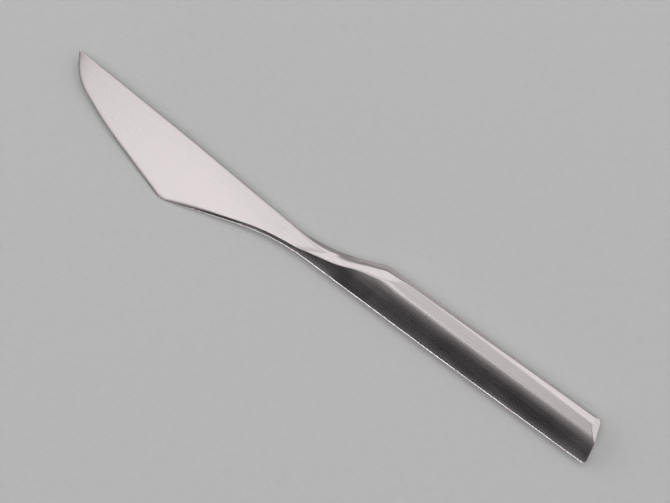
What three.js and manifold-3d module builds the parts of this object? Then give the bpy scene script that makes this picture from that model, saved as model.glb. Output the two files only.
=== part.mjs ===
// A steel table knife lying on its side, in millimetres, +Z up. A forged blade with a tang, two pressed
// handle shells brazed along the spine and the belly, a butt cap, and the cement that grips the tang.
// The knife is drawn in its blade plane: x runs from the shoulder towards the butt, y towards the spine
// and z off the blade's face. It is then rolled towards its cutting edge, as it lies on a table.
import * as THREE from "three";
import { mergeVertices } from "three/addons/utils/BufferGeometryUtils.js";
import Module from "manifold-3d";

const wasm = await Module();
wasm.setup();
const { degToRad, lerp, smoothstep } = THREE.MathUtils;

// Outline of the blade. Reaches are measured from the shoulder towards the tip.
const BLADE_REACH = 124.7;
const TIP_HEIGHT = 4.5;
const TIP_FLAT = 0.5;
const UPSWEEP_RUN = 5;
const UPSWEEP_DROP = 8.15;
const UPSWEEP_RADIUS = 17;
const EDGE_TURN_RUN = 20.3;
const EDGE_TURN_DROP = 15;
const EDGE_TURN_RADIUS = 130;
const HEEL_REACH = 74.5;
const HEEL_DEPTH = 19.8;
const HEEL_RADIUS = 8;
const SPINE_BOW_REACH = 76.4;
const SPINE_BOW_HEIGHT = 2.65;
const SPINE_BOW_RADIUS = 900;

// Outline of the neck and the handle
const NECK_SPINE_REACH = 21.3;
const NECK_SPINE_HEIGHT = -0.55;
const NECK_SPINE_RADIUS = 58;
const NECK_BELLY_REACH = 37;
const NECK_BELLY_RADIUS = 81;
const SHOULDER_RADIUS = 8;
const SPINE_OFFSET = 7.9;
const BELLY_OFFSET = 7.1;
const SPINE_FLARE = 0.9;
const HANDLE_LENGTH = 89;
const BUTT_SLANT = 13.5;
const BUTT_SPINE_RADIUS = 3;
const BUTT_BELLY_RADIUS = 1.2;
const BUTT_BEVEL_ANGLE = 42;
const BUTT_BEVEL_LAND = 1.2;
const BUTT_BEVEL_CLIMB = 0.28;

// Thicknesses and the surfaces that bound a section
const HANDLE_THICKNESS = 7;
const BELLY_ANGLE = 34;
const BELLY_EDGE_RADIUS = 0.65;
const BLADE_THICKNESS = 2.6;
const TIP_THICKNESS = 1.5;
const CUTTING_EDGE_THICKNESS = 0.3;
const GRIND_WIDTH = 11;
const FACE_EDGE_RADIUS = 0.4;
const CREASE_REACH = 18.6;
const CREASE_HEIGHT = -0.2;
const CREASE_ANGLE = 25.6;
const CREASE_SOFTNESS = 0.5;
const FLANK_ANGLE = 60;

// Lean of the spine wall from upright, in degrees, and the rounding of its ridge, along the knife
const BLADE_END = 45;
const NECK_END = 18;
const GRIP_START = 25;
const BLADE_LEAN = 3;
const NECK_LEAN = 30;
const GRIP_LEAN = 10;
const BUTT_LEAN = 3;
const NECK_RIDGE_RADIUS = 1.8;
const BUTT_RIDGE_RADIUS = 2.8;

// Rest: a flat land on the handle's side, with the heel just clear of the table
const LAND_DEPTH = 0.06;
const HEEL_LIFT = 0.1;

// Construction of the hollow handle
const JOINT_OFFSET = 3;
const WALL = 1.2;
const SEAM = 0.3;
const BRAZE_CLEARANCE = 0.05;
const FIT_CLEARANCE = 0.3;
const SPIGOT_LENGTH = 5;
const TANG_LENGTH = 50;
const TANG_WIDTH = 6;
const TANG_THICKNESS = 2.4;
const TANG_HEIGHT = 2.4;
const NOTCH_RADIUS = 1.2;
const NOTCH_SPACING = 14;
const NOTCH_MARGIN = 7;
const CAP_THICKNESS = 3;
const CAP_PLUG_LENGTH = 2.5;

// Mesh density across a section: points on the belly's edge, its arc, the middle and the spine
const EDGE_POINTS = 2;
const BELLY_POINTS = 5;
const BELLY_EASE = 1.3;
const MIDDLE_POINTS = 3;
const MIDDLE_LEAST = 1;
const SPINE_POINTS = 7;
const SPINE_SPAN = 3.6;
const SPINE_EASE = 2;

// Mesh density along the knife
const TIP_STATIONS = 9;
const TIP_EASE = 1.6;
const BLADE_STATIONS = 14;
const NECK_STATIONS = 30;
const HANDLE_STATIONS = 6;
const CAP_STATIONS = 6;
const HEEL_SAMPLES = 20;
const NOTCH_SEGMENTS = 6;

// Working values: how far joined solids reach into each other, and how closely points are found and merged
const OVERLAP = 1;
const HEIGHT_ERROR = 1e-7;
const MERGE_DISTANCE = 1e-4;

// A line through corners [x, y, radius], each rounded by an arc, as y for a given x. Both ends run on.
function roundedLine(corners) {
  const points = corners.map(([x, y]) => new THREE.Vector2(x, y));
  const arcs = corners.slice(1, -1).map(([, , radius], i) => {
    const before = points[i + 1].clone().sub(points[i]).normalize();
    const after = points[i + 2].clone().sub(points[i + 1]).normalize();
    const turn = Math.sign(before.cross(after));
    const reach = radius * Math.tan(before.angleTo(after) / 2);
    const start = points[i + 1].clone().addScaledVector(before, -reach);
    const end = points[i + 1].clone().addScaledVector(after, reach);
    const centre = new THREE.Vector2(-before.y, before.x).multiplyScalar(turn * radius).add(start);
    return { start, end, centre, radius, turn };
  });
  return (x) => {
    const arc = arcs.find(({ start, end }) => x >= start.x && x <= end.x);
    if (arc) return arc.centre.y - arc.turn * Math.sqrt(arc.radius ** 2 - (x - arc.centre.x) ** 2);
    const passed = points.slice(1, -1).filter((point) => x > point.x).length;
    const [a, b] = [points[passed], points[passed + 1]];
    return lerp(a.y, b.y, (x - a.x) / (b.x - a.x));
  };
}

// A value along the knife, eased between stops [x, value]
function along(x, stops) {
  const next = stops.findIndex(([at]) => x < at);
  if (next === 0) return stops[0][1];
  if (next < 0) return stops.at(-1)[1];
  const [[x0, v0], [x1, v1]] = [stops[next - 1], stops[next]];
  return lerp(v0, v1, smoothstep(x, x0, x1));
}

const TIP = [-BLADE_REACH, TIP_HEIGHT];
const EDGE_CORNERS = [
  TIP,
  [-BLADE_REACH + UPSWEEP_RUN, TIP_HEIGHT - UPSWEEP_DROP, UPSWEEP_RADIUS],
  [-BLADE_REACH + EDGE_TURN_RUN, TIP_HEIGHT - EDGE_TURN_DROP, EDGE_TURN_RADIUS],
  [-HEEL_REACH, -HEEL_DEPTH, HEEL_RADIUS],
];
const cuttingEdge = roundedLine(EDGE_CORNERS);
const bellyLine = roundedLine([
  ...EDGE_CORNERS,
  [-NECK_BELLY_REACH, -BELLY_OFFSET, NECK_BELLY_RADIUS],
  [HANDLE_LENGTH, -BELLY_OFFSET],
]);
const spineLine = roundedLine([
  TIP,
  [-SPINE_BOW_REACH, SPINE_BOW_HEIGHT, SPINE_BOW_RADIUS],
  [-NECK_SPINE_REACH, NECK_SPINE_HEIGHT, NECK_SPINE_RADIUS],
  [0, SPINE_OFFSET, SHOULDER_RADIUS],
  [HANDLE_LENGTH, SPINE_OFFSET + SPINE_FLARE],
]);

// The belly side is a large arc that starts from a small one at the edge, at BELLY_ANGLE
const bellyAngle = degToRad(BELLY_ANGLE);
const EDGE_RUN = BELLY_EDGE_RADIUS * (1 - Math.sin(bellyAngle));
const EDGE_RISE = BELLY_EDGE_RADIUS * Math.cos(bellyAngle);
const BELLY_RADIUS = (HANDLE_THICKNESS / 2 - EDGE_RISE) / (1 - Math.cos(bellyAngle));
const CROWN = EDGE_RUN + BELLY_RADIUS * Math.sin(bellyAngle);
const ARC_DEPTH = BELLY_RADIUS - HANDLE_THICKNESS / 2;

// Half the thickness that the ground blade face and the flank of the neck leave at (x, y)
function faceHeight(x, y) {
  const [, , turn, heel] = EDGE_CORNERS;
  const edgeSlope = Math.atan2(turn[1] - heel[1], heel[0] - turn[0]);
  const fromEdge = Math.max(0, (y - cuttingEdge(x)) * Math.cos(edgeSlope));
  const grind = 1 - (1 - Math.min(1, fromEdge / GRIND_WIDTH)) ** 2;
  const thickness = along(x, [[-BLADE_REACH, TIP_THICKNESS], [-BLADE_END, BLADE_THICKNESS]]);
  const angle = degToRad(CREASE_ANGLE);
  const past = (x + CREASE_REACH) * Math.sin(angle) - (y - CREASE_HEIGHT) * Math.cos(angle);
  const flank = ((past + Math.hypot(past, CREASE_SOFTNESS)) / 2) * Math.tan(degToRad(FLANK_ANGLE));
  return lerp(CUTTING_EDGE_THICKNESS, thickness, grind) / 2 + flank;
}

// The roll that brings the land and the edge behind the heel down together
const landReach = BELLY_RADIUS - LAND_DEPTH;
function rollOnto(y, halfThickness) {
  const [armY, armZ] = [CROWN - BELLY_OFFSET - y, ARC_DEPTH + halfThickness];
  return Math.atan2(armY, armZ) - Math.acos((landReach - HEEL_LIFT) / Math.hypot(armY, armZ));
}
const heelRolls = Array.from({ length: HEEL_SAMPLES + 1 }, (_, i) => {
  const x = lerp(-HEEL_REACH, -NECK_BELLY_REACH, i / HEEL_SAMPLES);
  const face = faceHeight(x, bellyLine(x) + EDGE_RUN);
  const inward = EDGE_RUN + Math.max(0, face - EDGE_RISE) / Math.tan(bellyAngle);
  return rollOnto(bellyLine(x) + inward, face);
});
const ROLL = Math.min(...heelRolls);
const landAngle = Math.acos(landReach / BELLY_RADIUS);
const LAND_START = CROWN - BELLY_RADIUS * Math.sin(ROLL + landAngle);
const LAND_END = CROWN - BELLY_RADIUS * Math.sin(ROLL - landAngle);

// The slanted butt, with round corners, as x for a given y
const slant = Math.tan(degToRad(BUTT_SLANT));
const cornerCut = (distance, radius) => {
  const short = Math.max(0, radius - Math.max(0, distance));
  return radius - Math.sqrt(radius ** 2 - short ** 2);
};
const buttPlane = (inset) => (y) => HANDLE_LENGTH - inset - y * slant;
const buttEnd = (y) => {
  const flat = buttPlane(0)(y);
  const spineCut = cornerCut(spineLine(flat) - y, BUTT_SPINE_RADIUS);
  return flat - spineCut - cornerCut(y - bellyLine(flat), BUTT_BELLY_RADIUS);
};

const spineLean = (x) =>
  degToRad(
    along(x, [
      [-BLADE_END, BLADE_LEAN],
      [-NECK_END, NECK_LEAN],
      [0, NECK_LEAN],
      [GRIP_START, GRIP_LEAN],
      [HANDLE_LENGTH, BUTT_LEAN],
    ]),
  );
const ridgeRadius = (x) =>
  along(x, [
    [-BLADE_END, FACE_EDGE_RADIUS],
    [-NECK_END, NECK_RIDGE_RADIUS],
    [HANDLE_LENGTH, BUTT_RIDGE_RADIUS],
  ]);

// The lesser of two depths, with the corner between them rounded
function roundedLeast(a, b, radius) {
  if (a >= radius || b >= radius) return Math.min(a, b);
  return radius - Math.hypot(radius - a, radius - b);
}

// Depth of a point inside the knife's surface, or inside the same surface moved in by inset
function depth(x, y, z, inset) {
  const fromBelly = y - bellyLine(x);
  const fromSpine = spineLine(x) - y;
  const lean = spineLean(x);
  const onEdge = inset === 0 && fromBelly < EDGE_RUN;
  const pastCrown = Math.max(0, fromBelly - CROWN) * along(x, [[-BLADE_END, 0], [-NECK_END, 1]]);
  const fromCrown = Math.min(0, fromBelly - CROWN) + pastCrown;
  const belly = onEdge
    ? BELLY_EDGE_RADIUS - Math.hypot(BELLY_EDGE_RADIUS - fromBelly, z)
    : BELLY_RADIUS - inset - Math.hypot(fromCrown, z + ARC_DEPTH);
  const spine = fromSpine * Math.cos(lean) - z * Math.sin(lean) - inset;
  const ridge = Math.max(FACE_EDGE_RADIUS, ridgeRadius(x) - inset);
  const body = roundedLeast(belly, spine, ridge);
  const land = landReach + fromCrown * Math.sin(ROLL) - (z + ARC_DEPTH) * Math.cos(ROLL);
  const faced = roundedLeast(body, faceHeight(x, y) - z - inset, FACE_EDGE_RADIUS);
  const bevel = (buttEnd(y) - x) * Math.tan(degToRad(BUTT_BEVEL_ANGLE));
  const bevelTop = BUTT_BEVEL_LAND + Math.max(0, bevel) + fromSpine * BUTT_BEVEL_CLIMB;
  return Math.min(faced, land - inset, bevelTop - z - inset);
}

// Height of the surface over (x, y), found by halving
function surfaceHeight(x, y, inset) {
  let low = 0;
  let high = HANDLE_THICKNESS;
  if (depth(x, y, 0, inset) <= 0) return 0;
  while (high - low > HEIGHT_ERROR) {
    const middle = (low + high) / 2;
    if (depth(x, y, middle, inset) > 0) low = middle;
    else high = middle;
  }
  return low;
}

// Places across a section, from the belly to the spine, as shares of its width. They crowd towards both
// edges and mark the sides of the land.
const easedSteps = (count, ease) => Array.from({ length: count + 1 }, (_, i) => (i / count) ** ease);
const BELLY_STEPS = [
  ...easedSteps(EDGE_POINTS, SPINE_EASE).map((share) => EDGE_RUN * share),
  ...easedSteps(BELLY_POINTS, BELLY_EASE).slice(1).map((share) => lerp(EDGE_RUN, LAND_START, share)),
  LAND_END,
];
const SPINE_STEPS = easedSteps(SPINE_POINTS, SPINE_EASE).map((share) => SPINE_SPAN * share);
function sharesAcross(width) {
  const squeeze = Math.min(1, width / (LAND_END + SPINE_SPAN + MIDDLE_LEAST)) / width;
  const belly = BELLY_STEPS.map((step) => step * squeeze);
  const spine = SPINE_STEPS.map((step) => 1 - step * squeeze).reverse();
  const middle = Array.from({ length: MIDDLE_POINTS }, (_, i) =>
    lerp(belly.at(-1), spine[0], (i + 1) / (MIDDLE_POINTS + 1)),
  );
  return [...belly, ...middle, ...spine];
}

// Upper half of the section on the row x = rowX(y), from the belly to the spine
function halfSection(rowX, inset) {
  const xMiddle = rowX(0);
  const shares = sharesAcross(spineLine(xMiddle) - bellyLine(xMiddle));
  return shares.map((share) => {
    const place = (x) => {
      const bellyIn = inset ? CROWN - Math.sqrt((BELLY_RADIUS - inset) ** 2 - ARC_DEPTH ** 2) : 0;
      const spineIn = inset / Math.cos(spineLean(x));
      return lerp(bellyLine(x) + bellyIn, spineLine(x) - spineIn, share);
    };
    const y = place(rowX(place(xMiddle)));
    const x = rowX(y);
    return new THREE.Vector3(x, y, surfaceHeight(x, y, inset));
  });
}

const mirrored = (points) => points.map((p) => new THREE.Vector3(p.x, p.y, -p.z)).reverse();
const fullSection = (rowX, inset) => {
  const half = halfSection(rowX, inset);
  return [...half, ...mirrored(half)];
};

// Rows evenly spaced between two row lines, with an easing that crowds them towards the first
function rowsBetween(first, last, count, ease = 1) {
  return easedSteps(count, ease).map((share) => (y) => lerp(first(y), last(y), share));
}
const atX = (x) => () => x;

function cleanGeometry(positions, triangles) {
  const loose = new THREE.BufferGeometry();
  loose.setAttribute("position", new THREE.Float32BufferAttribute(positions, 3));
  loose.setIndex(triangles);
  const merged = mergeVertices(loose, MERGE_DISTANCE);
  const index = [...merged.index.array];
  const kept = [];
  for (let i = 0; i < index.length; i += 3) {
    const corners = index.slice(i, i + 3);
    if (new Set(corners).size === 3) kept.push(...corners);
  }
  merged.setIndex(kept);
  return merged;
}

// A solid through rings of equal count. Each end is closed by strips between facing points of its ring.
function loft(rings) {
  const count = rings[0].length;
  const positions = rings.flat().flatMap((point) => point.toArray());
  const triangles = [];
  const quad = (a, b, c, d) => triangles.push(a, b, c, a, c, d);
  for (let ring = 0; ring + 1 < rings.length; ring++) {
    const [here, there] = [ring * count, (ring + 1) * count];
    for (let i = 0; i < count; i++) {
      const next = (i + 1) % count;
      quad(here + i, there + i, there + next, here + next);
    }
  }
  const last = (rings.length - 1) * count;
  for (let i = 0; i + 1 < count / 2; i++) {
    const facing = count - 1 - i;
    quad(i, i + 1, facing - 1, facing);
    quad(last + facing, last + facing - 1, last + i + 1, last + i);
  }
  return cleanGeometry(positions, triangles);
}

const toSolid = (geometry) =>
  new wasm.Manifold(
    new wasm.Mesh({
      numProp: 3,
      vertProperties: new Float32Array(geometry.attributes.position.array),
      triVerts: new Uint32Array(geometry.index.array),
    }),
  );
function toGeometry(solid) {
  const { vertProperties, triVerts } = solid.getMesh();
  return cleanGeometry([...vertProperties], [...triVerts]);
}

const shellFront = atX(JOINT_OFFSET + SEAM);
const shellBack = buttPlane(CAP_THICKNESS + SEAM);
const capFront = buttPlane(CAP_THICKNESS);
const plugFront = buttPlane(CAP_THICKNESS + CAP_PLUG_LENGTH);
const INSIDE = WALL + FIT_CLEARANCE;

// Flat tang with notches along both sides, grown on every side to make its pocket
function tangGeometry(grow) {
  const start = JOINT_OFFSET + SPIGOT_LENGTH - OVERLAP;
  const end = JOINT_OFFSET + TANG_LENGTH + grow;
  const side = TANG_WIDTH / 2;
  const bite = NOTCH_RADIUS - grow;
  const lip = Math.asin(grow / bite);
  const firstNotch = JOINT_OFFSET + TANG_LENGTH - NOTCH_MARGIN;
  const room = TANG_LENGTH - NOTCH_MARGIN - SPIGOT_LENGTH - NOTCH_RADIUS;
  const count = Math.floor(room / NOTCH_SPACING) + 1;
  const notches = Array.from({ length: count }, (_, i) => firstNotch - NOTCH_SPACING * i);
  const outline = new THREE.Shape();
  outline.moveTo(start, side + grow);
  outline.lineTo(start, -side - grow);
  for (const x of [...notches].reverse()) {
    outline.absarc(x, -side, bite, Math.PI + lip, -lip, true);
  }
  outline.lineTo(end, -side - grow);
  outline.lineTo(end, side + grow);
  for (const x of notches) {
    outline.absarc(x, side, bite, lip, Math.PI - lip, true);
  }
  const thickness = TANG_THICKNESS + 2 * grow;
  const bar = new THREE.ExtrudeGeometry(outline, {
    depth: thickness,
    bevelEnabled: false,
    curveSegments: NOTCH_SEGMENTS,
  });
  bar.translate(0, TANG_HEIGHT, -thickness / 2);
  bar.deleteAttribute("normal");
  bar.deleteAttribute("uv");
  return mergeVertices(bar);
}

function bladeGeometry() {
  const tip = atX(-BLADE_REACH + TIP_FLAT);
  const turn = atX(-BLADE_REACH + EDGE_TURN_RUN);
  const neck = atX(-BLADE_END);
  const rows = [
    ...rowsBetween(tip, turn, TIP_STATIONS, TIP_EASE),
    ...rowsBetween(turn, neck, BLADE_STATIONS).slice(1),
    ...rowsBetween(neck, atX(JOINT_OFFSET), NECK_STATIONS).slice(1),
  ];
  const forging = loft(rows.map((row) => fullSection(row, 0)));
  const spigotRows = [JOINT_OFFSET - OVERLAP, JOINT_OFFSET + SPIGOT_LENGTH].map(atX);
  const spigot = loft(spigotRows.map((row) => fullSection(row, INSIDE)));
  return toGeometry(toSolid(forging).add(toSolid(spigot)).add(toSolid(tangGeometry(0))));
}

// Half of the handle as pressed sheet: the outer face out and the inner face back
function shellGeometry(side) {
  const rise = (points) => points.map((p) => new THREE.Vector3(p.x, p.y, side * Math.max(p.z, SEAM / 2)));
  const rings = rowsBetween(shellFront, shellBack, HANDLE_STATIONS).map((row) => {
    const outer = rise(halfSection(row, 0));
    const inner = rise(halfSection(row, WALL));
    return side > 0 ? [...outer, ...inner.reverse()] : [...inner, ...outer.reverse()];
  });
  return loft(rings);
}

function capGeometry() {
  const rows = rowsBetween(capFront, buttEnd, CAP_STATIONS);
  const cap = loft(rows.map((row) => fullSection(row, 0)));
  const plugRows = [plugFront, buttPlane(CAP_THICKNESS - OVERLAP)];
  const plug = loft(plugRows.map((row) => fullSection(row, INSIDE)));
  return toGeometry(toSolid(cap).add(toSolid(plug)));
}

// Filler between the edges of the shells, as a flat strip from the outer face to the inner one
function seamGeometry(pick) {
  const height = SEAM / 2 - BRAZE_CLEARANCE;
  const rings = rowsBetween(shellFront, shellBack, HANDLE_STATIONS).map((row) => {
    const outer = pick(halfSection(row, 0));
    const inner = pick(halfSection(row, WALL));
    const edge = outer.y < inner.y ? [outer, inner] : [inner, outer];
    const raised = edge.map((p) => new THREE.Vector3(p.x, p.y, height));
    return [...raised, ...mirrored(raised)];
  });
  return loft(rings);
}

// Filler ring between two facing ends of the handle's wall
function ringGeometry(front, back) {
  const [first, last] = [(y) => front(y) + BRAZE_CLEARANCE, (y) => back(y) - BRAZE_CLEARANCE];
  const disc = loft([first, last].map((row) => fullSection(row, 0)));
  const boreRows = [(y) => front(y) - OVERLAP, (y) => back(y) + OVERLAP];
  const bore = loft(boreRows.map((row) => fullSection(row, WALL)));
  return toGeometry(toSolid(disc).subtract(toSolid(bore)));
}

function cementGeometry() {
  const front = atX(JOINT_OFFSET + SPIGOT_LENGTH + FIT_CLEARANCE);
  const back = (y) => plugFront(y) - FIT_CLEARANCE;
  const rows = rowsBetween(front, back, HANDLE_STATIONS);
  const core = loft(rows.map((row) => fullSection(row, INSIDE)));
  return toGeometry(toSolid(core).subtract(toSolid(tangGeometry(FIT_CLEARANCE))));
}

const bladeSteel = new THREE.MeshStandardMaterial({ color: 0xd8d0ce, metalness: 1, roughness: 0.32 });
const handleSteel = new THREE.MeshStandardMaterial({ color: 0xd2cbca, metalness: 1, roughness: 0.32 });
const brazeAlloy = new THREE.MeshStandardMaterial({ color: 0xc9a95c, metalness: 1, roughness: 0.4 });
const cement = new THREE.MeshStandardMaterial({ color: 0x9b948a, metalness: 0, roughness: 0.95 });

const knife = new THREE.Group();
function addPiece(name, geometry, material) {
  const piece = new THREE.Mesh(geometry, material);
  piece.name = name;
  knife.add(piece);
}
addPiece("blade", bladeGeometry(), bladeSteel);
addPiece("upper_handle_shell", shellGeometry(1), handleSteel);
addPiece("lower_handle_shell", shellGeometry(-1), handleSteel);
addPiece("butt_cap", capGeometry(), handleSteel);
addPiece("spine_seam_braze", seamGeometry((half) => half.at(-1)), brazeAlloy);
addPiece("belly_seam_braze", seamGeometry((half) => half[0]), brazeAlloy);
addPiece("neck_braze_ring", ringGeometry(atX(JOINT_OFFSET), shellFront), brazeAlloy);
addPiece("butt_braze_ring", ringGeometry(shellBack, capFront), brazeAlloy);
addPiece("tang_cement", cementGeometry(), cement);

// The knife rests on the table, with the middle of its box over the origin
knife.rotation.x = ROLL;
knife.updateMatrixWorld(true);
const box = new THREE.Box3().setFromObject(knife, true);
const middle = box.getCenter(new THREE.Vector3());
knife.position.set(-middle.x, -middle.y, -box.min.z);

export default knife;
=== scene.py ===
# A satin steel table knife lying on its side on a pale table, seen from above
import math

import bmesh
import bpy
import numpy as np
from mathutils import Matrix, Vector


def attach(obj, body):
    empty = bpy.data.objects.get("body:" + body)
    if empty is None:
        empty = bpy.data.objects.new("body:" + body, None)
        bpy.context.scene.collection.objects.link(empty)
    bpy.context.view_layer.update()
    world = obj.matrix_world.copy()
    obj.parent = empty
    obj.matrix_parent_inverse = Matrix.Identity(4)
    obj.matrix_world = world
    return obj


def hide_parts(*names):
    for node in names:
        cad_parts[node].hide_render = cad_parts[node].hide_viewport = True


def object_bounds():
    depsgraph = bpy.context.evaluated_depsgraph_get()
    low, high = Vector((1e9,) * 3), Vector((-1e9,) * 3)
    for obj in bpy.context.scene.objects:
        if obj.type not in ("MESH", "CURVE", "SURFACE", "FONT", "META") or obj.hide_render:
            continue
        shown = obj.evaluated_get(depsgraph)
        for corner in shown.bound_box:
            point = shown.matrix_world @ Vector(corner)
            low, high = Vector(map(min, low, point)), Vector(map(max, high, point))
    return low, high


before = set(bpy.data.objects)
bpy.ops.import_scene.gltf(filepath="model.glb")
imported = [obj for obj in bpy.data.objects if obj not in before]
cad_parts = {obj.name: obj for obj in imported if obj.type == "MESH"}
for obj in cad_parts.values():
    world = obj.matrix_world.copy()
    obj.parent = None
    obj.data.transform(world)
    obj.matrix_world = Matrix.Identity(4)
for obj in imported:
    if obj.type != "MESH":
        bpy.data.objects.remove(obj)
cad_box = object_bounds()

MM = 0.001

# Outline of the blade, in millimetres. Reaches are measured from the shoulder towards the tip.
BLADE_REACH = 124.7
TIP_HEIGHT = 4.5
TIP_FLAT = 0.5
UPSWEEP_RUN = 5
UPSWEEP_DROP = 8.15
UPSWEEP_RADIUS = 17
EDGE_TURN_RUN = 20.3
EDGE_TURN_DROP = 15
EDGE_TURN_RADIUS = 130
HEEL_REACH = 74.5
HEEL_DEPTH = 19.8
HEEL_RADIUS = 8
SPINE_BOW_REACH = 76.4
SPINE_BOW_HEIGHT = 2.65
SPINE_BOW_RADIUS = 900

# Outline of the neck and the handle
NECK_SPINE_REACH = 21.3
NECK_SPINE_HEIGHT = -0.55
NECK_SPINE_RADIUS = 58
NECK_BELLY_REACH = 37
NECK_BELLY_RADIUS = 81
SHOULDER_RADIUS = 8
SPINE_OFFSET = 7.9
BELLY_OFFSET = 6.95
BELLY_BOW_OFFSET = 30
BELLY_BOW = 0.08
BELLY_BOW_RADIUS = 3000
BUTT_BELLY_RISE = 0.4
SPINE_FLARE = 0.9
HANDLE_LENGTH = 89
BUTT_SLANT = math.radians(13.5)
BUTT_TURN = math.radians(6)
BUTT_TURN_HEIGHT = 1
BUTT_SPINE_RADIUS = 1
BUTT_BELLY_RADIUS = 1.2
BUTT_EDGE_RADIUS = 0.45
BUTT_BEVEL_ANGLE = math.radians(28)
BUTT_BEVEL_LAND = 0.9
BUTT_BEVEL_CLIMB = 0.33

# Places along the knife where its section changes. Reaches are measured from the shoulder towards the tip.
BEVEL_START_REACH = 77
BEVEL_NARROW_REACH = 72
BEVEL_FULL_REACH = 60
HEEL_BACK_REACH = 66
ROOT_REACH = 47
NECK_START_REACH = 36
FLANK_REACH = 20
NECK_REACH = 17
TWIST_REACH = 7
SHOULDER_REACH = 4
GRIP_START = 10.5

# Belly side: a narrow polished bevel along the edge, and an arc that starts from it at the belly angle
EDGE_ANGLE = math.radians(36)
EDGE_WIDTH = 0.42
HEEL_EDGE_WIDTH = 0.2
TIP_EDGE_WIDTH = 0.05
EDGE_RADIUS = 0.12
BLADE_EDGE_LAND = 0.1
GRIP_EDGE_LAND = 0.25
HEEL_BELLY_ANGLE = math.radians(13)
NECK_BELLY_ANGLE = math.radians(29)
TWIST_BELLY_ANGLE = math.radians(21.5)
GRIP_BELLY_ANGLE = math.radians(27.5)
BUTT_BELLY_ANGLE = math.radians(28.5)
ROOT_ARC_RADIUS = 40
TWIST_ARC_RADIUS = 55
GRIP_ARC_RADIUS = 36
BUTT_ARC_RADIUS = 30

# Top side of the handle: a facet from a soft ridge down towards the spine, and a chamfer along the spine
SHOULDER_THICKNESS = 8
BUTT_THICKNESS = 7.7
SHOULDER_RIDGE_REACH = 10.9
BUTT_RIDGE_REACH = 10.1
TOP_SLOPE = math.radians(9.6)
RIDGE_SOFTNESS = 0.4
CHAMFER_ANGLE = math.radians(28)
CHAMFER_FRONT = 3.15
CHAMFER_BUTT = 2
CHAMFER_SOFTNESS = 0.15

# Blade faces, and the flank that rises from a crease across the neck
NECK_THICKNESS = 2.75
BLADE_THICKNESS = 2.15
TIP_THICKNESS = 1.6
HEEL_EDGE_THICKNESS = 0.5
TIP_EDGE_THICKNESS = 0.35
GRIND_WIDTH = 20
GRIND_SOFTNESS = 0.3
FACE_SOFTNESS = 0.12
CREASE_REACH = 18.6
CREASE_HEIGHT = -0.6
CREASE_ANGLE = math.radians(25.6)
CREASE_SOFTNESS = 0.2
CREASE_FADE_REACH = 25
CREASE_FADE = 0.35
FLANK_ANGLE = math.radians(26)

# Lean of the spine wall from upright, in degrees, and the rounding of its ridge
BLADE_LEAN = 14
FLANK_LEAN = 52
NECK_LEAN = 45
SHOULDER_LEAN = 33
GRIP_LEAN = 9
BUTT_LEAN = 1
BLADE_RIDGE_RADIUS = 0.4
NECK_RIDGE_RADIUS = 0.5
GRIP_RIDGE_RADIUS = 0.3

# Rest: a flat land on the handle's underside, with the heel just clear of the table
LAND_DEPTH = 0.12
HEEL_LIFT = 0.1

# Construction of the hollow handle
JOINT_OFFSET = 3
WALL = 1.2
SEAM = 0.3
FIT_CLEARANCE = 0.3
SPIGOT_LENGTH = 5
TANG_LENGTH = 50
TANG_WIDTH = 6
TANG_THICKNESS = 2.4
TANG_HEIGHT = 2.4
NOTCH_RADIUS = 1.2
NOTCH_SPACING = 14
NOTCH_MARGIN = 7
NOTCH_SIDES = 32
CAP_THICKNESS = 3
CAP_PLUG_LENGTH = 2.5
OVERLAP = 1

# Mesh density across a section and along the knife, and limits for finding and cleaning the surface
EDGE_POINTS = 8
MIDDLE_POINTS = 62
SPINE_POINTS = 46
SPINE_SPAN = 3.6
MIDDLE_LEAST = 1
INSIDE_POINTS = 12
TIP_ROWS = 70
TIP_EASE = 1.6
BLADE_ROWS = 80
NECK_ROWS = 130
HANDLE_ROWS = 110
CAP_ROWS = 40
CROWDING = 2
HEEL_SAMPLES = 20
HALVINGS = 34
ROW_PASSES = 4
EDGE_LEAST = 0.01
MERGE_DISTANCE = 1e-7
SHARP_ANGLE = math.radians(44)


def lerp(a, b, share):
    return a + (b - a) * share


def along(x, *stops):
    """A value along the knife, eased between stops (x, value)."""
    value = stops[0][1]
    for (x0, v0), (x1, v1) in zip(stops, stops[1:]):
        t = np.clip((x - x0) / (x1 - x0), 0, 1)
        value = value + (v1 - v0) * t * t * (3 - 2 * t)
    return value


def soft_least(a, b, softness):
    """The lesser of two depths whose surfaces meet at a shallow angle, with a soft ridge between them."""
    return (a + b - np.hypot(a - b, softness)) / 2


def rounded_least(a, b, radius):
    """The lesser of two depths, with the corner between them rounded."""
    rounded = radius - np.hypot(radius - a, radius - b)
    return np.where((a >= radius) | (b >= radius), np.minimum(a, b), rounded)


def rounded_line(corners):
    """A line through corners (x, y, radius), each rounded by an arc, as y for given x. Both ends run on."""
    points = [Vector(corner[:2]) for corner in corners]
    arcs = []
    for before, here, after, corner in zip(points, points[1:], points[2:], corners[1:]):
        into = (here - before).normalized()
        out = (after - here).normalized()
        turn = math.copysign(1, into.cross(out))
        reach = corner[2] * math.tan(into.angle(out) / 2)
        start = here - into * reach
        end = here + out * reach
        centre = start + Vector((-into.y, into.x)) * turn * corner[2]
        arcs.append((start, end, centre, corner[2], turn))
    knots = np.array([point.x for point in points[1:-1]])
    starts = np.array(points[:-1])
    slopes = np.array([(b.y - a.y) / (b.x - a.x) for a, b in zip(points, points[1:])])

    def height(x):
        x = np.asarray(x, float)
        stretch = np.searchsorted(knots, x)
        y = starts[stretch, 1] + slopes[stretch] * (x - starts[stretch, 0])
        for start, end, centre, radius, turn in arcs:
            on_arc = (x >= start.x) & (x <= end.x)
            rise = np.sqrt(np.maximum(0, radius**2 - (x - centre.x) ** 2))
            y = np.where(on_arc, centre.y - turn * rise, y)
        return y

    return height


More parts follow.
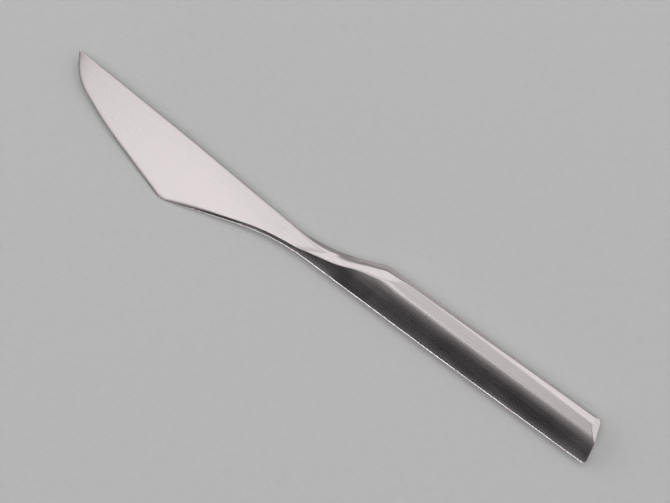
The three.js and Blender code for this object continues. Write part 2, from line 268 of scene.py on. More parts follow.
tip = (-BLADE_REACH, TIP_HEIGHT)
edge_turn = (-BLADE_REACH + EDGE_TURN_RUN, TIP_HEIGHT - EDGE_TURN_DROP, EDGE_TURN_RADIUS)
heel = (-HEEL_REACH, -HEEL_DEPTH, HEEL_RADIUS)
edge_corners = [
    tip,
    (-BLADE_REACH + UPSWEEP_RUN, TIP_HEIGHT - UPSWEEP_DROP, UPSWEEP_RADIUS),
    edge_turn,
    heel,
]
cutting_edge = rounded_line(edge_corners)
belly_line = rounded_line([
    *edge_corners,
    (-NECK_BELLY_REACH, -BELLY_OFFSET, NECK_BELLY_RADIUS),
    (BELLY_BOW_OFFSET, -BELLY_OFFSET - BELLY_BOW, BELLY_BOW_RADIUS),
    (HANDLE_LENGTH, -BELLY_OFFSET + BUTT_BELLY_RISE),
])
spine_line = rounded_line([
    tip,
    (-SPINE_BOW_REACH, SPINE_BOW_HEIGHT, SPINE_BOW_RADIUS),
    (-NECK_SPINE_REACH, NECK_SPINE_HEIGHT, NECK_SPINE_RADIUS),
    (0, SPINE_OFFSET, SHOULDER_RADIUS),
    (HANDLE_LENGTH, SPINE_OFFSET + SPINE_FLARE),
])


def edge_land(x):
    """Height of the upright land at the belly edge."""
    return along(x, (-HEEL_BACK_REACH, BLADE_EDGE_LAND), (-ROOT_REACH, GRIP_EDGE_LAND))


def edge_bevel(x):
    """Run and rise of the polished bevel, up to the arc. In front of the heel there is almost none."""
    width = along(
        x,
        (-BEVEL_START_REACH, TIP_EDGE_WIDTH),
        (-BEVEL_NARROW_REACH, HEEL_EDGE_WIDTH),
        (-BEVEL_FULL_REACH, EDGE_WIDTH),
    )
    return width * math.cos(EDGE_ANGLE), edge_land(x) + width * math.sin(EDGE_ANGLE)


def belly_angle(x):
    return along(
        x,
        (-HEEL_BACK_REACH, HEEL_BELLY_ANGLE),
        (-ROOT_REACH, NECK_BELLY_ANGLE),
        (-NECK_REACH, NECK_BELLY_ANGLE),
        (-TWIST_REACH, TWIST_BELLY_ANGLE),
        (GRIP_START, GRIP_BELLY_ANGLE),
        (HANDLE_LENGTH, BUTT_BELLY_ANGLE),
    )


def belly_arc(x):
    """Radius of the belly arc, with its centre's distances in from the edge and below the mid plane."""
    radius = along(
        x,
        (-NECK_REACH, ROOT_ARC_RADIUS),
        (-TWIST_REACH, TWIST_ARC_RADIUS),
        (GRIP_START, GRIP_ARC_RADIUS),
        (HANDLE_LENGTH, BUTT_ARC_RADIUS),
    )
    angle = belly_angle(x)
    run, rise = edge_bevel(x)
    return radius, run + radius * np.sin(angle), radius * np.cos(angle) - rise


def ridge(x):
    """Half the handle's thickness at its ridge, and how far in from the belly edge the ridge lies."""
    height = along(x, (0, SHOULDER_THICKNESS), (HANDLE_LENGTH, BUTT_THICKNESS)) / 2
    return height, along(x, (0, SHOULDER_RIDGE_REACH), (HANDLE_LENGTH, BUTT_RIDGE_REACH))


butt_ridge = ridge(HANDLE_LENGTH)
LAND_HEIGHT = butt_ridge[0] - RIDGE_SOFTNESS / 2 - LAND_DEPTH
LAND_MIDDLE = butt_ridge[1] + belly_line(HANDLE_LENGTH)


def face_height(x, y):
    """Half the thickness that the ground blade face and the flank of the neck leave at (x, y)."""
    edge_slope = math.atan2(edge_turn[1] - heel[1], heel[0] - edge_turn[0])
    from_edge = np.maximum(0, (y - cutting_edge(x)) * math.cos(edge_slope))
    grind = soft_least(1, from_edge / GRIND_WIDTH, GRIND_SOFTNESS) - soft_least(1, 0, GRIND_SOFTNESS)
    thickness = along(
        x,
        (-BLADE_REACH, TIP_THICKNESS),
        (-ROOT_REACH, BLADE_THICKNESS),
        (-NECK_START_REACH, BLADE_THICKNESS),
        (-NECK_REACH, NECK_THICKNESS),
    )
    edge_thickness = along(x, (-BLADE_REACH, TIP_EDGE_THICKNESS), (-HEEL_REACH, HEEL_EDGE_THICKNESS))
    past = (x + CREASE_REACH) * math.sin(CREASE_ANGLE) - (y - CREASE_HEIGHT) * math.cos(CREASE_ANGLE)
    softness = along(x, (-CREASE_FADE_REACH, CREASE_FADE), (-CREASE_REACH, CREASE_SOFTNESS))
    flank = (past + np.hypot(past, softness)) / 2 * math.tan(FLANK_ANGLE)
    return lerp(edge_thickness, thickness, grind) / 2 + flank


def resting_roll():
    """The roll that brings the handle's land and the edge behind the heel down to the table together."""
    x = np.linspace(-HEEL_REACH, -NECK_BELLY_REACH, HEEL_SAMPLES + 1)
    run, rise = edge_bevel(x)
    face = face_height(x, belly_line(x) + run)
    y = belly_line(x) + run + np.maximum(0, face - rise) / np.tan(belly_angle(x))
    arm_y = LAND_MIDDLE - y
    arm_z = LAND_HEIGHT - face
    return np.min(np.arccos(HEEL_LIFT / np.hypot(arm_y, arm_z)) - np.arctan2(arm_y, arm_z))


ROLL = resting_roll()


def corner_cut(distance, radius):
    short = np.maximum(0, radius - np.maximum(0, distance))
    return radius - np.sqrt(radius**2 - short**2)


def at_x(x):
    return lambda y: x + 0 * y


def butt_plane(inset):
    return lambda y: HANDLE_LENGTH - inset - y * math.tan(BUTT_SLANT)


def butt_face(y):
    """The slanted butt, which turns a little further in towards the spine, as x for given y."""
    return butt_plane(0)(y) - np.maximum(0, y - BUTT_TURN_HEIGHT) * math.tan(BUTT_TURN)


def butt_end(y):
    """The butt's face with round corners, as x for given y."""
    flat = butt_face(y)
    spine_cut = corner_cut(spine_line(flat) - y, BUTT_SPINE_RADIUS)
    return flat - spine_cut - corner_cut(y - belly_line(flat), BUTT_BELLY_RADIUS)


def spine_lean(x):
    lean = along(
        x,
        (-NECK_START_REACH, BLADE_LEAN),
        (-FLANK_REACH, FLANK_LEAN),
        (-NECK_REACH, NECK_LEAN),
        (-SHOULDER_REACH, SHOULDER_LEAN),
        (GRIP_START, GRIP_LEAN),
        (HANDLE_LENGTH, BUTT_LEAN),
    )
    return np.radians(lean)


def ridge_radius(x):
    return along(
        x,
        (-NECK_START_REACH, BLADE_RIDGE_RADIUS),
        (-NECK_REACH, NECK_RIDGE_RADIUS),
        (GRIP_START, GRIP_RIDGE_RADIUS),
    )


def facet(rise, run, angle):
    """Depth below a facet that slopes at an angle, from the rise and the run up to it."""
    return rise * math.cos(angle) + run * math.sin(angle)


def depth(x, y, z, inset, landed):
    """Depth of a point inside the knife's surface, or inside the same surface moved in by inset."""
    from_belly = y - belly_line(x)
    from_spine = spine_line(x) - y
    radius, crown, arc_depth = belly_arc(x)
    past_crown = np.maximum(0, from_belly - crown) * along(x, (-ROOT_REACH, 0), (-NECK_REACH, 1))
    from_crown = np.minimum(0, from_belly - crown) + past_crown
    belly = radius - inset - np.hypot(from_crown, z + arc_depth)
    ridge_height, ridge_reach = ridge(x)
    top = facet(ridge_height - z, ridge_reach - from_belly, TOP_SLOPE) - inset
    chamfer_height = lerp(CHAMFER_FRONT, CHAMFER_BUTT, x / HANDLE_LENGTH)
    chamfer = facet(chamfer_height - z, from_spine, CHAMFER_ANGLE) - inset
    roof = soft_least(soft_least(belly, top, RIDGE_SOFTNESS), chamfer, CHAMFER_SOFTNESS)
    roof = soft_least(roof, face_height(x, y) - z - inset, FACE_SOFTNESS)
    if inset == 0:
        bevel = facet(edge_land(x) - z, from_belly, EDGE_ANGLE)
        roof = np.minimum(roof, rounded_least(from_belly, bevel, EDGE_RADIUS))
    lean = spine_lean(x)
    spine = from_spine * np.cos(lean) - z * np.sin(lean) - inset
    body = rounded_least(roof, spine, ridge_radius(x))
    from_butt = butt_face(y) - x
    butt_bevel = BUTT_BEVEL_LAND + from_spine * BUTT_BEVEL_CLIMB + from_butt * math.tan(BUTT_BEVEL_ANGLE)
    body = np.minimum(body, butt_bevel - z - inset)
    if inset == 0:
        body = rounded_least(body, (butt_end(y) - x) * math.cos(BUTT_SLANT), BUTT_EDGE_RADIUS)
    if landed:
        land = (y - LAND_MIDDLE) * math.sin(ROLL) + (LAND_HEIGHT - z) * math.cos(ROLL)
        body = np.minimum(body, land - inset)
    return body


def surface_height(x, y, inset, landed):
    """Height of the surface over (x, y), found by halving."""
    low = np.zeros_like(x)
    high = np.full_like(x, SHOULDER_THICKNESS)
    for _ in range(HALVINGS):
        middle = (low + high) / 2
        inside = depth(x, y, middle, inset, landed) > 0
        low = np.where(inside, middle, low)
        high = np.where(inside, high, middle)
    return low


def eased(count, ease=1):
    return (np.arange(count + 1) / count) ** ease


def shares_across(width):
    """Places across sections of these widths, as shares from belly to spine, crowded at both edges."""
    edge_run = EDGE_WIDTH * math.cos(EDGE_ANGLE)
    belly_steps = edge_run * eased(EDGE_POINTS, CROWDING)
    spine_steps = SPINE_SPAN * eased(SPINE_POINTS, CROWDING)[::-1]
    squeeze = np.minimum(1, width / (edge_run + SPINE_SPAN + MIDDLE_LEAST)) / width
    belly = belly_steps * squeeze
    spine = 1 - spine_steps * squeeze
    middle = lerp(belly[:, -1:], spine[:, :1], eased(MIDDLE_POINTS)[1:-1])
    return np.hstack([belly, middle, spine])


def half_surface(first, last, row_shares, inset=0, landed=False, rim=0):
    """Points of one side, in rows between two row lines. A rim leaves the side open at that height."""
    rows = np.asarray(row_shares, float)[:, None]
    y = np.zeros_like(rows)
    shares = None
    for _ in range(ROW_PASSES):
        x = lerp(first(y), last(y), rows)
        lean = spine_lean(x)
        low = belly_line(x)
        high = spine_line(x) - rim * np.tan(lean)
        if inset:
            radius, crown, arc_depth = belly_arc(x)
            low = low + crown - np.sqrt((radius - inset) ** 2 - arc_depth**2)
            high = spine_line(x) - inset / np.cos(lean)
        if shares is None:
            shares = eased(INSIDE_POINTS)[None, :] if inset else shares_across(high - low)
        y = lerp(low, high, shares)
    x = lerp(first(y), last(y), rows)
    z = np.maximum(surface_height(x, y, inset, landed), max(rim, EDGE_LEAST))
    return np.stack([x, y, z], axis=2)


def closed_rings(first, last, row_shares, inset=0):
    """Rings right round the knife: the upper side from belly to spine, and the lower side back."""
    upper = half_surface(first, last, row_shares, inset)
    lower = half_surface(first, last, row_shares, inset, landed=True) * (1, 1, -1)
    return np.concatenate([upper, lower[:, ::-1]], axis=1)


def with_count(rows, count):
    """The same rows of points, with count points spread along each."""
    places = np.linspace(0, 1, count)
    old_places = np.linspace(0, 1, rows.shape[1])
    spread = [[np.interp(places, old_places, row[:, axis]) for axis in range(3)] for row in rows]
    return np.swapaxes(np.array(spread), 1, 2)


def loft(rings, closed=False):
    """Vertices and faces of a solid through rings of equal count. Open ends are closed across each ring."""
    rings = np.asarray(rings)
    ring_count, count = rings.shape[:2]
    faces = []
    for ring in range(ring_count if closed else ring_count - 1):
        here = ring * count
        there = (ring + 1) % ring_count * count
        for i in range(count):
            after = (i + 1) % count
            faces.append((here + i, there + i, there + after, here + after))
    if not closed:
        last = (ring_count - 1) * count
        for i in range(count // 2 - 1):
            facing = count - 1 - i
            faces.append((i, i + 1, facing - 1, facing))
            faces.append((last + facing, last + facing - 1, last + i + 1, last + i))
    return rings.reshape(-1, 3), faces


def mesh_object(name, vertices, faces):
    """A mesh in the drawing's own place, in metres, with doubles merged and faces pointing out."""
    mesh = bpy.data.meshes.new(name)
    mesh.from_pydata((np.asarray(vertices) * MM).tolist(), [], faces)
    work = bmesh.new()
    work.from_mesh(mesh)
    bmesh.ops.remove_doubles(work, verts=work.verts, dist=MERGE_DISTANCE)
    bmesh.ops.dissolve_degenerate(work, edges=work.edges, dist=MERGE_DISTANCE)
    bmesh.ops.recalc_face_normals(work, faces=work.faces)
    work.to_mesh(mesh)
    work.free()
    piece = bpy.data.objects.new(name, mesh)
    bpy.context.scene.collection.objects.link(piece)
    return piece


def applied(piece):
    """Turns the piece's modifiers into a plain mesh."""
    shape = piece.evaluated_get(bpy.context.evaluated_depsgraph_get())
    mesh = bpy.data.meshes.new_from_object(shape)
    piece.modifiers.clear()
    piece.data = mesh
    return piece


def joined(piece, other):
    """Joins a second solid to a piece."""
    union = piece.modifiers.new("union", "BOOLEAN")
    union.operation = "UNION"
    union.solver = "MANIFOLD"
    union.object = other
    applied(piece)
    bpy.data.objects.remove(other)
    return piece


def add_node(tree, kind, inputs=None, **settings):
    """Adds a node with its settings. An input is a value, a socket to link, or a tuple of sockets."""
    made = tree.nodes.new(kind)
    for name, value in settings.items():
        setattr(made, name, value)
    for name, value in (inputs or {}).items():
        for source in value if isinstance(value, tuple) else (value,):
            if isinstance(source, bpy.types.NodeSocket):
                tree.links.new(source, made.inputs[name])
            else:
                made.inputs[name].default_value = source
    return made


def linear(hex_colour):
    """An sRGB hex colour as linear RGBA."""
    channels = [int(hex_colour[i:i + 2], 16) / 255 for i in (1, 3, 5)]
    return [c / 12.92 if c <= 0.04045 else ((c + 0.055) / 1.055) ** 2.4 for c in channels] + [1.0]


# Values between which a noise pattern mostly lies
NOISE_SPAN = (0.37, 0.63)


def new_material(name, *patterns):
    """A material with noise patterns on Object coordinates, each from its sizes in mm and a detail."""
    material = bpy.data.materials.new(name)
    material.use_nodes = True
    tree = material.node_tree
    tree.nodes.clear()
    place = add_node(tree, "ShaderNodeTexCoord").outputs["Object"]
    noises = []
    for sizes, detail in patterns:
        scale = [1 / (size * MM) for size in sizes]
        spread = add_node(tree, "ShaderNodeMapping", {"Vector": place, "Scale": scale}).outputs[0]
        noise = add_node(tree, "ShaderNodeTexNoise", {"Vector": spread, "Scale": 1.0, "Detail": detail})
        noises.append(noise.outputs[0])
    return material, tree, noises


def finish_material(tree, worked, colours, height, relief, roughness, metallic=0.0):
    """Ends a material with a tone between two colours, and a relief of given strength and depth in mm."""
    tone = add_node(tree, "ShaderNodeMapRange", {
        "Value": worked, "From Min": NOISE_SPAN[0], "From Max": NOISE_SPAN[1]}).outputs[0]
    colour = add_node(tree, "ShaderNodeMix", {
        "Factor": tone, "A": linear(colours[0]), "B": linear(colours[1])}, data_type="RGBA").outputs[2]
    bump = add_node(tree, "ShaderNodeBump", {
        "Height": height, "Strength": relief[0], "Distance": relief[1] * MM}).outputs[0]
    shader = add_node(tree, "ShaderNodeBsdfPrincipled", {
        "Base Color": colour, "Roughness": roughness, "Normal": bump, "Metallic": metallic})
    add_node(tree, "ShaderNodeOutputMaterial", {"Surface": shader.outputs[0]})


# Stainless steel, brushed along the knife to a satin and rubbed bright along the belly edge. It gives
# soft, wide reflections with faint streaks in them. Real brush lines are about 0.03 mm apart, so they
# are drawn coarser.
BRUSH_LENGTH = 22
BRUSH_SPACING = 0.8
BRUSH_DETAIL = 2.0
FINE_SPACING = 0.12
FINE_DETAIL = 1.0
FINE_SHARE = 0.4
CLOUD_SIZE = 12
CLOUD_DETAIL = 2.0
CLOUD_SHARE = 0.35
BRUSH_RELIEF = (0.02, 0.1)
SATIN_ROUGHNESS = (0.21, 0.27)
POLISHED_ROUGHNESS = 0.13


def satin_steel(name, pale, dark):
    material, tree, (brush, fine, cloud) = new_material(
        name,
        ((BRUSH_LENGTH, BRUSH_SPACING, BRUSH_SPACING), BRUSH_DETAIL),
        ((BRUSH_LENGTH, FINE_SPACING, FINE_SPACING), FINE_DETAIL),
        ((CLOUD_SIZE, CLOUD_SIZE, CLOUD_SIZE), CLOUD_DETAIL),
    )
    streaks = add_node(tree, "ShaderNodeMix", {"Factor": FINE_SHARE, "A": brush, "B": fine}).outputs[0]
    worked = add_node(tree, "ShaderNodeMix", {"Factor": CLOUD_SHARE, "A": streaks, "B": cloud}).outputs[0]
    satin = add_node(tree, "ShaderNodeMapRange", {
        "Value": worked, "From Min": NOISE_SPAN[0], "From Max": NOISE_SPAN[1],
        "To Min": SATIN_ROUGHNESS[0], "To Max": SATIN_ROUGHNESS[1]}).outputs[0]
    polish = add_node(tree, "ShaderNodeAttribute", attribute_name="polish").outputs["Fac"]
    roughness = add_node(tree, "ShaderNodeMix", {
        "Factor": polish, "A": satin, "B": POLISHED_ROUGHNESS}).outputs[0]
    finish_material(tree, worked, (dark, pale), streaks, BRUSH_RELIEF, roughness, metallic=1.0)
    return material


# Set cement: fine mineral grit in a pale binder, dull, with pores
GRIT_SIZE = 0.5
GRIT_DETAIL = 4.0
PORE_SIZE = 1.8
PORE_DETAIL = 2.0
PORE_SHARE = 0.5
CEMENT_COLOURS = ("#837C72", "#ADA69B")
CEMENT_RELIEF = (0.5, 0.2)
CEMENT_ROUGHNESS = 0.92


def mineral_cement(name):
    material, tree, (grit, pores) = new_material(
        name,
        ((GRIT_SIZE, GRIT_SIZE, GRIT_SIZE), GRIT_DETAIL),
        ((PORE_SIZE, PORE_SIZE, PORE_SIZE), PORE_DETAIL),
    )
    mixed = add_node(tree, "ShaderNodeMix", {"Factor": PORE_SHARE, "A": grit, "B": pores}).outputs[0]
    finish_material(tree, mixed, CEMENT_COLOURS, mixed, CEMENT_RELIEF, CEMENT_ROUGHNESS)
    return material


# Matt uncoated paper on the table: short fibres that just break up its grey, drawn coarser than real ones
FIBRE_LENGTH = 4
FIBRE_WIDTH = 0.8
FIBRE_DETAIL = 3.0
PAPER_COLOURS = ("#E5E5E5", "#E8E8E8")
PAPER_RELIEF = (0.05, 0.1)
PAPER_ROUGHNESS = 0.8


def uncoated_paper(name):
    fibre_sizes = (FIBRE_LENGTH, FIBRE_WIDTH, FIBRE_WIDTH)
    material, tree, (fibres,) = new_material(name, (fibre_sizes, FIBRE_DETAIL))
    finish_material(tree, fibres, PAPER_COLOURS, fibres, PAPER_RELIEF, PAPER_ROUGHNESS)
    return material


blade_steel = satin_steel("satin_blade_steel", "#E0D8D9", "#D3CBCB")
handle_steel = satin_steel("satin_handle_steel", "#DDD5D6", "#D0C8C9")
silver_braze = satin_steel("silver_braze", "#DCD5D3", "#CFC7C6")

# Rows where the pieces of the handle meet
INSIDE = WALL + FIT_CLEARANCE
shell_front = at_x(JOINT_OFFSET + SEAM)
shell_back = butt_plane(CAP_THICKNESS + SEAM)
cap_front = butt_plane(CAP_THICKNESS)
plug_front = butt_plane(CAP_THICKNESS + CAP_PLUG_LENGTH)


def notched_tang_tree():
    """Geometry nodes that join a flat tang, with notches along both sides, to the forging that comes in."""
    tree = bpy.data.node_groups.new("notched_tang", "GeometryNodeTree")
    tree.interface.new_socket("Forging", in_out="INPUT", socket_type="NodeSocketGeometry")
    for name in ("Bar Size", "Bar Middle", "First Notch", "Notch Step", "Other Side"):
        tree.interface.new_socket(name, in_out="INPUT", socket_type="NodeSocketVector")
    for name in ("Notch Radius", "Notch Depth"):
        tree.interface.new_socket(name, in_out="INPUT", socket_type="NodeSocketFloat")
    tree.interface.new_socket("Notch Count", in_out="INPUT", socket_type="NodeSocketInt")
    tree.interface.new_socket("Steel", in_out="INPUT", socket_type="NodeSocketMaterial")
    tree.interface.new_socket("Forging", in_out="OUTPUT", socket_type="NodeSocketGeometry")
    given = add_node(tree, "NodeGroupInput").outputs
    cube = add_node(tree, "GeometryNodeMeshCube", {"Size": given["Bar Size"]})
    bar = add_node(tree, "GeometryNodeTransform", {
        "Geometry": cube.outputs["Mesh"], "Translation": given["Bar Middle"]})
    row = add_node(tree, "GeometryNodeMeshLine", {
        "Count": given["Notch Count"], "Start Location": given["First Notch"],
        "Offset": given["Notch Step"]})
    other_row = add_node(tree, "GeometryNodeTransform", {
        "Geometry": row.outputs["Mesh"], "Translation": given["Other Side"]})
    rows = add_node(tree, "GeometryNodeJoinGeometry", {
        "Geometry": (row.outputs["Mesh"], other_row.outputs[0])})
    cutter = add_node(tree, "GeometryNodeMeshCylinder", {
        "Vertices": NOTCH_SIDES, "Radius": given["Notch Radius"], "Depth": given["Notch Depth"]})
    cutters = add_node(tree, "GeometryNodeInstanceOnPoints", {
        "Points": rows.outputs[0], "Instance": cutter.outputs["Mesh"]})
    notches = add_node(tree, "GeometryNodeRealizeInstances", {"Geometry": cutters.outputs[0]})
    tang = add_node(tree, "GeometryNodeMeshBoolean", {
        "Mesh 1": bar.outputs[0], "Mesh 2": notches.outputs[0]}, operation="DIFFERENCE", solver="MANIFOLD")
    whole = add_node(tree, "GeometryNodeMeshBoolean", {
        "Mesh 2": (given["Forging"], tang.outputs["Mesh"])}, operation="UNION", solver="MANIFOLD")
    real = add_node(tree, "GeometryNodeRealizeInstances", {"Geometry": whole.outputs["Mesh"]})
    steel = add_node(tree, "GeometryNodeSetMaterial", {
        "Geometry": real.outputs[0], "Material": given["Steel"]})
    add_node(tree, "NodeGroupOutput", {"Forging": steel.outputs[0]})
    return tree


def with_tang(forging):
    """Adds the tang to the forging."""
    start = JOINT_OFFSET + SPIGOT_LENGTH - OVERLAP
    end = JOINT_OFFSET + TANG_LENGTH
    room = TANG_LENGTH - NOTCH_MARGIN - SPIGOT_LENGTH - NOTCH_RADIUS
    sizes = {
        "Bar Size": Vector((end - start, TANG_WIDTH, TANG_THICKNESS)) * MM,
        "Bar Middle": Vector(((start + end) / 2, TANG_HEIGHT, 0)) * MM,
        "First Notch": Vector((end - NOTCH_MARGIN, TANG_HEIGHT + TANG_WIDTH / 2, 0)) * MM,
        "Notch Step": Vector((-NOTCH_SPACING, 0, 0)) * MM,
        "Other Side": Vector((0, -TANG_WIDTH, 0)) * MM,
        "Notch Radius": NOTCH_RADIUS * MM,
        "Notch Depth": 2 * TANG_THICKNESS * MM,
        "Notch Count": math.floor(room / NOTCH_SPACING) + 1,
        "Steel": blade_steel,
    }
    modifier = forging.modifiers.new("tang", "NODES")
    modifier.node_group = notched_tang_tree()
    for socket in modifier.node_group.interface.items_tree:
        if socket.in_out == "INPUT" and socket.name in sizes:
            modifier[socket.identifier] = sizes[socket.name]
    return applied(forging)


def forged_blade(name):
    """Blade, neck and shoulder, with the spigot that enters the handle and the tang behind it."""
    turn_x = edge_turn[0]
    forging = mesh_object(name, *loft(np.concatenate([
        closed_rings(at_x(-BLADE_REACH + TIP_FLAT), at_x(turn_x), eased(TIP_ROWS, TIP_EASE)),
        closed_rings(at_x(turn_x), at_x(-ROOT_REACH), eased(BLADE_ROWS)[1:]),
        closed_rings(at_x(-ROOT_REACH), at_x(JOINT_OFFSET), eased(NECK_ROWS)[1:]),
    ])))
    spigot_rows = at_x(JOINT_OFFSET - OVERLAP), at_x(JOINT_OFFSET + SPIGOT_LENGTH)
    spigot = mesh_object("spigot", *loft(closed_rings(*spigot_rows, [0, 1], inset=INSIDE)))
    return with_tang(joined(forging, spigot))


def pressed_shell(name, side):
    """Half of the handle as pressed sheet: the outer face out and the inner face back."""
    landed = side < 0
    outer = half_surface(shell_front, shell_back, eased(HANDLE_ROWS), landed=landed, rim=SEAM / 2)
    inner = half_surface(shell_front, shell_back, eased(HANDLE_ROWS), inset=WALL, landed=landed)
    inner[..., 2] = np.maximum(inner[..., 2], SEAM / 2)
    rings = np.concatenate([outer, with_count(inner, outer.shape[1])[:, ::-1]], axis=1)
    return mesh_object(name, *loft(rings * (1, 1, side)))


def bevelled_cap(name):
    """End of the handle, on a plug that enters the shells."""
    rows = 1 - eased(CAP_ROWS, CROWDING)[::-1]
    cap = mesh_object(name, *loft(closed_rings(cap_front, butt_end, rows)))
    plug_rows = plug_front, butt_plane(CAP_THICKNESS - OVERLAP)
    plug = mesh_object("plug", *loft(closed_rings(*plug_rows, [0, 1], inset=INSIDE)))
    return joined(cap, plug)


def braze_ring(name, front, back):
    """Filler ring between two facing ends of the handle's wall."""
    outer = closed_rings(front, back, [0, 1])
    inner = with_count(closed_rings(front, back, [0, 1], inset=WALL), outer.shape[1])
    return mesh_object(name, *loft(np.stack([outer[0], outer[1], inner[1], inner[0]], axis=1), closed=True))


def braze_strip(name, place):
    """Filler between the edges of the shells, at the first or the last place across them."""
    edge = half_surface(shell_front, shell_back, eased(HANDLE_ROWS))[:, place]
    outer = half_surface(shell_front, shell_back, eased(HANDLE_ROWS), rim=SEAM / 2)[:, place]
    inner = half_surface(shell_front, shell_back, eased(HANDLE_ROWS), inset=WALL)[:, place]
    inner[:, 2] = SEAM / 2
    upper = np.stack([edge, outer, inner], axis=1)
    return mesh_object(name, *loft(np.concatenate([upper, upper[:, ::-1] * (1, 1, -1)], axis=1)))


def mark_polish(piece):
    """Marks where the belly edge is rubbed bright."""
    count = len(piece.data.vertices)
    places = np.empty(count * 3)
    piece.data.vertices.foreach_get("co", places)
    x, y, z = places.reshape(-1, 3).T / MM
    run, rise = edge_bevel(x)
    on_bevel = (y - belly_line(x) < run + EDGE_RADIUS) & (np.abs(z) < rise + EDGE_RADIUS)
    bright = on_bevel & (x > -BEVEL_START_REACH)
    polish = piece.data.attributes.new("polish", "FLOAT", "POINT")
    polish.data.foreach_set("value", bright.astype(float))


pieces = {
    "blade": (forged_blade("blade_forging"), blade_steel, "blade_steel"),
    "upper_handle_shell": (pressed_shell("upper_shell", 1), handle_steel, "handle_steel"),
    "lower_handle_shell": (pressed_shell("lower_shell", -1), handle_steel, "handle_steel"),
    "butt_cap": (bevelled_cap("butt_end"), handle_steel, "handle_steel"),
    "neck_braze_ring": (braze_ring("neck_braze", at_x(JOINT_OFFSET), shell_front), silver_braze, "braze"),
    "butt_braze_ring": (braze_ring("butt_braze", shell_back, cap_front), silver_braze, "braze"),
    "spine_seam_braze": (braze_strip("spine_braze", -1), silver_braze, "braze"),
    "belly_seam_braze": (braze_strip("belly_braze", 0), silver_braze, "braze"),
}

# The knife is rolled to its rest, with the middle of its box where the frame has it
for piece, _, _ in pieces.values():
    mark_polish(piece)
    piece.data.transform(Matrix.Rotation(ROLL, 4, "X"))
corners = np.concatenate([[v.co for v in piece.data.vertices] for piece, _, _ in pieces.values()])
low, high = Vector(corners.min(axis=0)), Vector(corners.max(axis=0))
shift = (cad_box[0] + cad_box[1]) / 2 - (low + high) / 2
shift.z = cad_box[0].z - low.z
for node, (piece, material, slot) in pieces.items():
    piece.data.transform(Matrix.Translation(shift))
    piece.data.materials.clear()
    piece.data.materials.append(material)
    piece.data.polygons.foreach_set("use_smooth", [True] * len(piece.data.polygons))
    piece.data.set_sharp_from_angle(angle=SHARP_ANGLE)
    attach(piece, "root")
    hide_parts(node)

# The cement keeps its CAD shape and gets its own finish
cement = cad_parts["tang_cement"]
cement.data.materials.clear()
cement.data.materials.append(mineral_cement("mineral_cement"))

# Table top
FLOOR_HALF = 3000
floor_corners = np.array([(-1, -1, 0), (1, -1, 0), (1, 1, 0), (-1, 1, 0)]) * FLOOR_HALF
floor = mesh_object("floor", floor_corners, [(0, 1, 2, 3)])
floor.data.materials.append(uncoated_paper("uncoated_paper"))

# Soft panels round the knife, and the camera's turn in degrees, which the key panel follows
CAMERA_TURN = 36.58


def softbox(name, towards, start, end, distance, width, brightness, spin=0):
    """A panel that faces the knife and spans two angles from upright. Towards is on a compass where 0 is
    the spine's side and 90 the butt's. Spin turns it about the line to the knife."""
    light = bpy.data.lights.new(name, "AREA")
    light.shape = "RECTANGLE"
    light.size = width
    light.size_y = 2 * distance * math.tan(math.radians(end - start) / 2)
    light.energy = brightness * math.pi * light.size * light.size_y
    lamp = bpy.data.objects.new(name, light)
    compass = Matrix.Rotation(-math.radians(towards), 4, "Z")
    tilt = Matrix.Rotation(-math.radians(start + end) / 2, 4, "X")
    out = Matrix.Translation((0, 0, distance))
    lamp.matrix_world = compass @ tilt @ out @ Matrix.Rotation(math.radians(spin), 4, "Z")
    lamp.visible_camera = False
    bpy.context.scene.collection.objects.link(lamp)


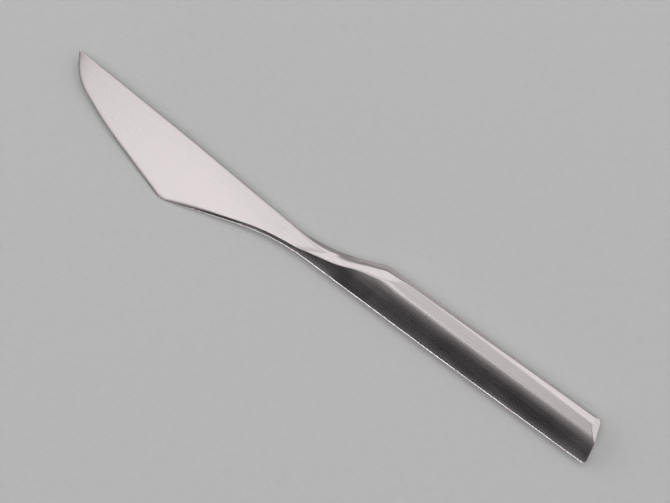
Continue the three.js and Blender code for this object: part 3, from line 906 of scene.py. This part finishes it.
softbox("key_panel", towards=191.6, start=14.67, end=32.87, distance=1.748, width=0.51, brightness=1.1,
        spin=CAMERA_TURN + 11.6)
softbox("top_panel", towards=0, start=-12, end=20, distance=1.6, width=0.7, brightness=0.56)
softbox("tip_top_panel", towards=270, start=12, end=28, distance=1.65, width=0.9, brightness=0.56)
softbox("ridge_panel", towards=145, start=14.3, end=27.6, distance=1.715, width=0.55, brightness=0.4,
        spin=145)
softbox("spine_panel", towards=0, start=20, end=50, distance=1.8, width=3.0, brightness=0.82)
softbox("far_panel", towards=0, start=56, end=84, distance=1.8, width=3.0, brightness=0.05)
softbox("butt_panel", towards=60, start=54, end=86, distance=1.6, width=1.2, brightness=0.7)
softbox("tip_panel", towards=270, start=45, end=79, distance=1.6, width=1.8, brightness=1.0)
softbox("low_strip", towards=180, start=84.5, end=90, distance=1.8, width=4.0, brightness=4.9)

# A grey room, dark on the belly's side. The spans are of directions, from none of the dark to all of it.
ROOM_GREY = "#898989"
ROOM_DARK = "#26282A"
DARK_SIDE_SPAN = (-0.54, -0.74)
DARK_MIDDLE_SPAN = (0.65, 0.4)
world = bpy.data.worlds.new("studio")
bpy.context.scene.world = world
world.use_nodes = True
room = world.node_tree
room.nodes.clear()
direction = add_node(room, "ShaderNodeTexCoord").outputs["Generated"]
split = add_node(room, "ShaderNodeSeparateXYZ", {"Vector": direction})
belly_side = add_node(room, "ShaderNodeMapRange", {
    "Value": split.outputs["Y"], "From Min": DARK_SIDE_SPAN[0], "From Max": DARK_SIDE_SPAN[1]})
sideways = add_node(room, "ShaderNodeMath", {0: split.outputs["X"]}, operation="ABSOLUTE")
central = add_node(room, "ShaderNodeMapRange", {
    "Value": sideways.outputs[0], "From Min": DARK_MIDDLE_SPAN[0], "From Max": DARK_MIDDLE_SPAN[1]})
dark_share = add_node(room, "ShaderNodeMath", {
    0: belly_side.outputs[0], 1: central.outputs[0]}, operation="MULTIPLY")
wall_colour = add_node(room, "ShaderNodeMix", {
    "Factor": dark_share.outputs[0], "A": linear(ROOM_GREY), "B": linear(ROOM_DARK)}, data_type="RGBA")
walls = add_node(room, "ShaderNodeBackground", {"Color": wall_colour.outputs[2]})
add_node(room, "ShaderNodeOutputWorld", {"Surface": walls.outputs[0]})

# Camera straight above, turned so that the knife lies across the picture from upper left to lower right
CAMERA_LENS = 146.5
CAMERA_SENSOR = 36
CAMERA_PLACE = (-0.00052, 0.00613, 0.9)
camera = bpy.data.objects.new("camera", bpy.data.cameras.new("camera"))
camera.data.lens = CAMERA_LENS
camera.data.sensor_width = CAMERA_SENSOR
camera.location = CAMERA_PLACE
camera.rotation_euler = (0, 0, math.radians(CAMERA_TURN))
bpy.context.scene.collection.objects.link(camera)
bpy.context.scene.camera = camera
bpy.context.scene.view_settings.view_transform = "Standard"
